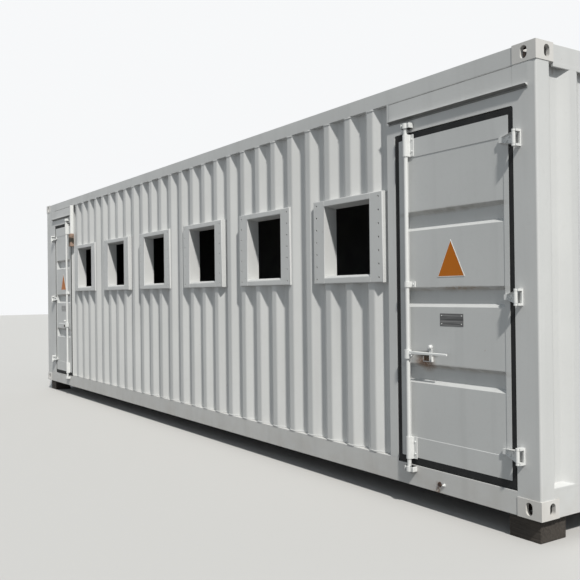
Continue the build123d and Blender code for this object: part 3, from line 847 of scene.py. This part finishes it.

# Rod brackets and lever catches
# Forged brackets bolted to the leaf hold the rod, and an open catch holds the
# lever. The inner faces of the saddle of each catch are near-black, as rust where
# the lever wore off the paint and as painted shade in the hollow.
fitting_paint = sprayed_paint(
    "fitting_paint", (0.735, 0.738, 0.730), roughness=0.36, dust_top=0.30, speck=1.2
)
saddle_rust_and_shade = mottled(
    "saddle_rust_and_shade", 0.85, (0.022, 0.018, 0.015), (0.085, 0.055, 0.038),
    scale=70.0, detail=6.0, low=0.4, high=0.62,
)
forged_edge = 0.002
saddle_foot = 1.050
saddle_top = 1.086
saddle_depth = 0.0125
cheek_area = 0.00065
for side in towards_hinge:
    leaf_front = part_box(f"{side}_door_leaf")[0].y
    bm = worked_copy(f"{side}_rod_brackets")
    # Inner faces of each saddle take the near-black rust and painted shade.
    for face in bm.faces:
        spot = face.calc_center_median()
        in_saddle = saddle_foot < spot.z < saddle_top and spot.y > leaf_front - saddle_depth
        outer_cheek = abs(face.normal.x) > 0.9 and face.calc_area() > cheek_area
        worn_and_shaded = in_saddle and not outer_cheek and face.normal.y < 0.5
        face.material_index = 1 if worn_and_shaded else 0
    rounded(bm, forged_edge)
    finishes = [fitting_paint, saddle_rust_and_shade]
    replaced = f"{side}_rod_brackets"
    placed(bm, f"{side}_brackets_forged", f"{side}_door", finishes, replaced)

# Lock rods
# A steel tube with a forged cam welded to each end, which turns in the
# brackets. It is sprayed with the other fittings.
for side in towards_hinge:
    node = f"{side}_lock_rod"
    bm = worked_copy(node)
    rounded(bm, forged_edge)
    placed(bm, node + "_forged", f"{side}_rod", [fitting_paint], node)

# Lever handles
# A flat forged bar, pinned to a hub on each rod. The upper front edge of its
# grip is rounded for the hand.
joint_places = {
    joint["name"]: Vector(joint["pos_m"]) for joint in frame["record"]["behaviour"]["joints"]
}
grip_start = 0.080
grip_length = 0.2
crown_radius = 0.0065
for side, outwards in towards_hinge.items():
    rod_x = joint_places[f"{side}_rod_turn"].x
    bm = worked_copy(f"{side}_lever_handle")
    bmesh.ops.bisect_plane(
        bm,
        geom=bm.verts[:] + bm.edges[:] + bm.faces[:],
        dist=0.000001,
        plane_co=(rod_x + outwards * grip_start, 0.0, 0.0),
        plane_no=(1.0, 0.0, 0.0),
    )
    grip_edges = [
        edge
        for edge in bm.edges
        if edge.calc_length() > grip_length
        and all((vertex.co.x - rod_x) * outwards > grip_start - 0.001 for vertex in edge.verts)
    ]
    front_edges = sorted(grip_edges, key=lambda edge: edge.verts[0].co.y)[:2]
    crown = max(front_edges, key=lambda edge: edge.verts[0].co.z + edge.verts[1].co.z)
    bevelled(bm, [crown], crown_radius, 4)
    replaced = f"{side}_lever_handle"
    placed(bm, f"{side}_lever_forged", f"{side}_rod", [fitting_paint], replaced)

# Hinge lugs and cam keepers
# Forged lugs welded to the posts carry the hinge pins, and forged keepers on
# the heads and sills take the cams.
keeper_edge = 0.0045
bm = worked_copy("hinge_lugs")
rounded(bm, forged_edge)
placed(bm, "hinge_lugs_forged", "cabin", [fitting_paint], "hinge_lugs")
bm = worked_copy("lock_keepers")
rounded(bm, keeper_edge, 3, low=60.0)
placed(bm, "lock_keepers_forged", "cabin", [fitting_paint], "lock_keepers")

# Hinge blades
# Forged blades with a raised rim round a sunk face, held to the leaf by two
# rivets that were painted over. The free ends taper.
outer_blade_reach = 0.034
outer_blade_lift = 0.008
middle_blade_reach = 0.008
blade_taper = 0.62
knuckle_reach = 0.08
sunk_rim = 0.008
sunk_depth = 0.012
sunk_face_area = 0.003
blade_edge = 0.0015
rivet_radius = 0.009
rivet_height = 0.008
rivet_steps = ((-0.014, 0.010), (0.016, -0.010))


def heads(bm, spots, facing, radius, height, sides=14):
    """Low domed heads that stand on a surface and face one way."""
    facing = Vector(facing).normalized()
    turn = facing.to_track_quat("Z", "Y").to_matrix().to_4x4()
    lift = facing * (height / 2 - 0.0005)
    for spot in spots:
        made = bmesh.ops.create_cone(
            bm,
            cap_ends=True,
            segments=sides,
            radius1=radius,
            radius2=radius * 0.72,
            depth=height,
            matrix=Matrix.Translation(Vector(spot) + lift) @ turn,
        )
        crown = []
        for edge in bm.edges:
            if edge.verts[0] in made["verts"] and edge.calc_face_angle(0.0) > 0.6:
                crown.append(edge)
        bevelled(bm, crown, height * 0.25, 2)


def is_blade_face(face):
    """Whether a face is the large slanting front of a blade."""
    slanting = face.normal.y < -0.5 and abs(face.normal.x) > 0.3
    return slanting and face.calc_area() > sunk_face_area


for side, outwards in towards_hinge.items():
    pin_x = joint_places[f"{side}_door_hinge"].x
    bm = worked_copy(f"{side}_hinge_blades")
    levels = sorted(vertex.co.z for vertex in bm.verts)
    for vertex in bm.verts:
        if abs(vertex.co.x - pin_x) > knuckle_reach:
            own_levels = [level for level in levels if abs(level - vertex.co.z) < 0.2]
            middle_z = (own_levels[0] + own_levels[-1]) / 2
            over_groove = abs(middle_z - groove_tops[1]) < 0.1
            reach = middle_blade_reach if over_groove else outer_blade_reach
            lift = 0.0 if over_groove else outer_blade_lift
            vertex.co.x -= outwards * reach
            vertex.co.z = middle_z + lift + (vertex.co.z - middle_z) * blade_taper
    bm.normal_update()
    faces = [face for face in bm.faces if is_blade_face(face)]
    face_spots = [(face.calc_center_median().copy(), face.normal.copy()) for face in faces]
    bmesh.ops.inset_individual(bm, faces=faces, thickness=sunk_rim, depth=-sunk_depth)
    rounded(bm, blade_edge, low=30.0)
    replaced = f"{side}_hinge_blades"
    placed(bm, f"{side}_blades_forged", f"{side}_door", [fitting_paint], replaced)
    bm = bmesh.new()
    for centre, normal in face_spots:
        along = normal.cross(Vector((0.0, 0.0, 1.0))).normalized()
        sunk = centre - normal * sunk_depth
        spots = [sunk + along * step + Vector((0.0, 0.0, rise)) for step, rise in rivet_steps]
        heads(bm, spots, normal, rivet_radius, rivet_height)
    placed(bm, f"{side}_blade_rivets", f"{side}_door", [fitting_paint])

# Knobs on the lever catches
# A round stud with a domed head closes the top of each catch. It is turned
# from steel bar and welded on.
out_of_wall = (0.0, -1.0, 0.0)
knob_radius = 0.016
knob_height = 0.016
catch_reach = 0.197
catch_z = 1.149
catch_half = 0.02
for side, outwards in towards_hinge.items():
    catch_x = joint_places[f"{side}_rod_turn"].x + outwards * catch_reach
    catch_front = min(
        vertex.co.y
        for vertex in frame["nodes"][f"{side}_rod_brackets"].data.vertices
        if abs(vertex.co.x - catch_x) < catch_half and abs(vertex.co.z - catch_z) < catch_half
    )
    bm = bmesh.new()
    heads(bm, [(catch_x, catch_front, catch_z)], out_of_wall, knob_radius, knob_height, 20)
    placed(bm, f"{side}_catch_knob", f"{side}_door", [fitting_paint])

# Bolts on the rod brackets and levers
# Low round-headed bolts, driven through the bracket feet into the leaf and
# through the web of each lever, all painted with the fittings.
bracket_rows = (0.381, 0.466, 1.5895, 2.540, 2.625)
bolt_reach = 0.037
foot_plate = 0.006
bolt_radius = 0.008
web_proud = 0.012
lever_bolt_steps = ((0.034, -0.010), (0.050, -0.022))
lever_bolt_radius = 0.006
bolt_height = 0.006
for side, outwards in towards_hinge.items():
    rod_place = joint_places[f"{side}_rod_turn"]
    bolt_x = rod_place.x + outwards * bolt_reach
    foot_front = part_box(f"{side}_door_leaf")[0].y - foot_plate
    bm = bmesh.new()
    spots = [(bolt_x, foot_front, z) for z in bracket_rows]
    heads(bm, spots, out_of_wall, bolt_radius, bolt_height)
    placed(bm, f"{side}_bracket_bolts", f"{side}_door", [fitting_paint])
    bm = bmesh.new()
    spots = [
        rod_place + Vector((outwards * reach, -web_proud, rise))
        for reach, rise in lever_bolt_steps
    ]
    heads(bm, spots, out_of_wall, lever_bolt_radius, bolt_height)
    placed(bm, f"{side}_lever_bolts", f"{side}_rod", [fitting_paint])

# Sign plates
# A plain triangular plate in orange enamel with a thin pale rim, glued to
# each leaf between two grooves.
enamel = {"roughness": 0.4, "dust_top": 0.2, "speck": 0.0, "gun_streaks": 0.3}
sign_orange = sprayed_paint("sign_orange", (0.515, 0.145, 0.002), **enamel)
shader_of(sign_orange).inputs["Specular IOR Level"].default_value = 0.25
sign_rim = sprayed_paint("sign_rim", (0.76, 0.74, 0.70), **enamel)
rim_width = 0.009
for side in towards_hinge:
    node = f"{side}_sign_plate"
    bm = worked_copy(node)
    front = [face for face in bm.faces if face.normal.y < -0.9]
    for face in bm.faces:
        face.material_index = 1
    bmesh.ops.inset_region(bm, faces=front, thickness=rim_width, depth=0.0)
    for face in front:
        face.material_index = 0
    placed(bm, f"{side}_sign", f"{side}_door", [sign_orange, sign_rim], node)

# Blank name plates
# A small anodised plate, left blank, riveted to each door under its middle
# groove. It has a rolled rim. The near one is darker.
plate_half_width = 0.108
plate_half_height = 0.0435
plate_z = 1.343
plate_proud = 0.0015
plate_root = 0.0005
plate_edge = 0.0005
rolled_rim = 0.006
rim_slope = 0.0015
rim_depth = 0.0008
rivet_across = 0.092
rivet_up = 0.028
rivet_seat = 0.0009
for side, plate_x, dark, pale in (
    ("right", 4.288, (0.060, 0.061, 0.063), (0.20, 0.20, 0.202)),
    ("left", -4.164, (0.24, 0.24, 0.242), (0.36, 0.36, 0.36)),
):
    plate_grey = mottled(
        f"{side}_plate_grey", 0.45, dark, pale,
        detail=4.0, low=0.38, high=0.62, stretch=(3.0, 3.0, 110.0),
    )
    shader_of(plate_grey).inputs["Metallic"].default_value = 0.3
    panel_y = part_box(f"{side}_sign_plate")[1].y
    bm = bmesh.new()
    bar(
        bm,
        (plate_x - plate_half_width, panel_y - plate_proud, plate_z - plate_half_height),
        (plate_x + plate_half_width, panel_y + plate_root, plate_z + plate_half_height),
    )
    front = [face for face in bm.faces if face.normal.y < -0.9]
    bmesh.ops.inset_region(bm, faces=front, thickness=rolled_rim, depth=0.0)
    bmesh.ops.inset_region(bm, faces=front, thickness=rim_slope, depth=-rim_depth)
    rounded(bm, plate_edge, 1)
    placed(bm, f"{side}_name_plate", f"{side}_door", [plate_grey])
    bm = bmesh.new()
    spots = [
        (plate_x + across, panel_y - rivet_seat, plate_z + upwards)
        for across in (-rivet_across, rivet_across)
        for upwards in (-rivet_up, rivet_up)
    ]
    heads(bm, spots, out_of_wall, 0.004, 0.003, 10)
    placed(bm, f"{side}_plate_rivets", f"{side}_door", [fitting_paint])

# Duct beside the far door
# A short folded duct comes down from the top rail beside the far door, in
# paint paler than the wall's. A rusted outlet box closes its foot.
# The duct's paint is set paler than the wall's.
pale_duct_paint = sprayed_paint("pale_duct_paint", (0.80, 0.80, 0.785), roughness=0.4, speck=0.0)
outlet_rust = mottled(
    "outlet_rust", 0.85, (0.030, 0.027, 0.020), (0.34, 0.235, 0.18),
    scale=15.0, low=0.44, high=0.56, bump=(0.5, 0.004),
)
duct_left = -3.664
duct_right = -3.624
duct_depth = 0.050
duct_foot = 2.491
duct_gap = 0.004
duct_edge = 0.005
bm = bmesh.new()
bar(
    bm,
    (duct_left, wall_front - duct_depth, duct_foot),
    (duct_right, wall_front + into_wall, skin_top - duct_gap),
)
rounded(bm, duct_edge, 3)
placed(bm, "far_duct", "cabin", [pale_duct_paint])
outlet_left = -3.710
outlet_right = -3.615
outlet_depth = 0.056
outlet_foot = 2.297
outlet_edge = 0.006
bm = bmesh.new()
bar(
    bm,
    (outlet_left, wall_front - outlet_depth, outlet_foot),
    (outlet_right, wall_front + into_wall, duct_foot),
)
rounded(bm, outlet_edge, 3)
placed(bm, "far_outlet_box", "cabin", [outlet_rust])

# Earthing boss
# A threaded boss on the bottom rail under the near door, rusted brown, with a
# plated stud and its hexagon nut beside it.
boss_rust = mottled(
    "boss_rust", 0.85, (0.016, 0.010, 0.008), (0.060, 0.030, 0.018),
    scale=90.0, detail=6.0, low=0.4, high=0.6,
)
boss_radius = 0.019
boss_height = 0.010
stud_x = 4.205
stud_z = 0.211
nut_radius = 0.013
nut_height = 0.010
stud_radius = 0.007
stud_height = 0.012
stud_seat = 0.009
bm = bmesh.new()
heads(bm, [(boss_x, rail_front, boss_z)], out_of_wall, boss_radius, boss_height, 20)
placed(bm, "earthing_boss", "cabin", [boss_rust])
bm = bmesh.new()
heads(bm, [(stud_x, rail_front, stud_z)], out_of_wall, nut_radius, nut_height, 6)
heads(bm, [(stud_x, rail_front - stud_seat, stud_z)], out_of_wall, stud_radius, stud_height)
placed(bm, "earthing_stud", "cabin", [fitting_paint])
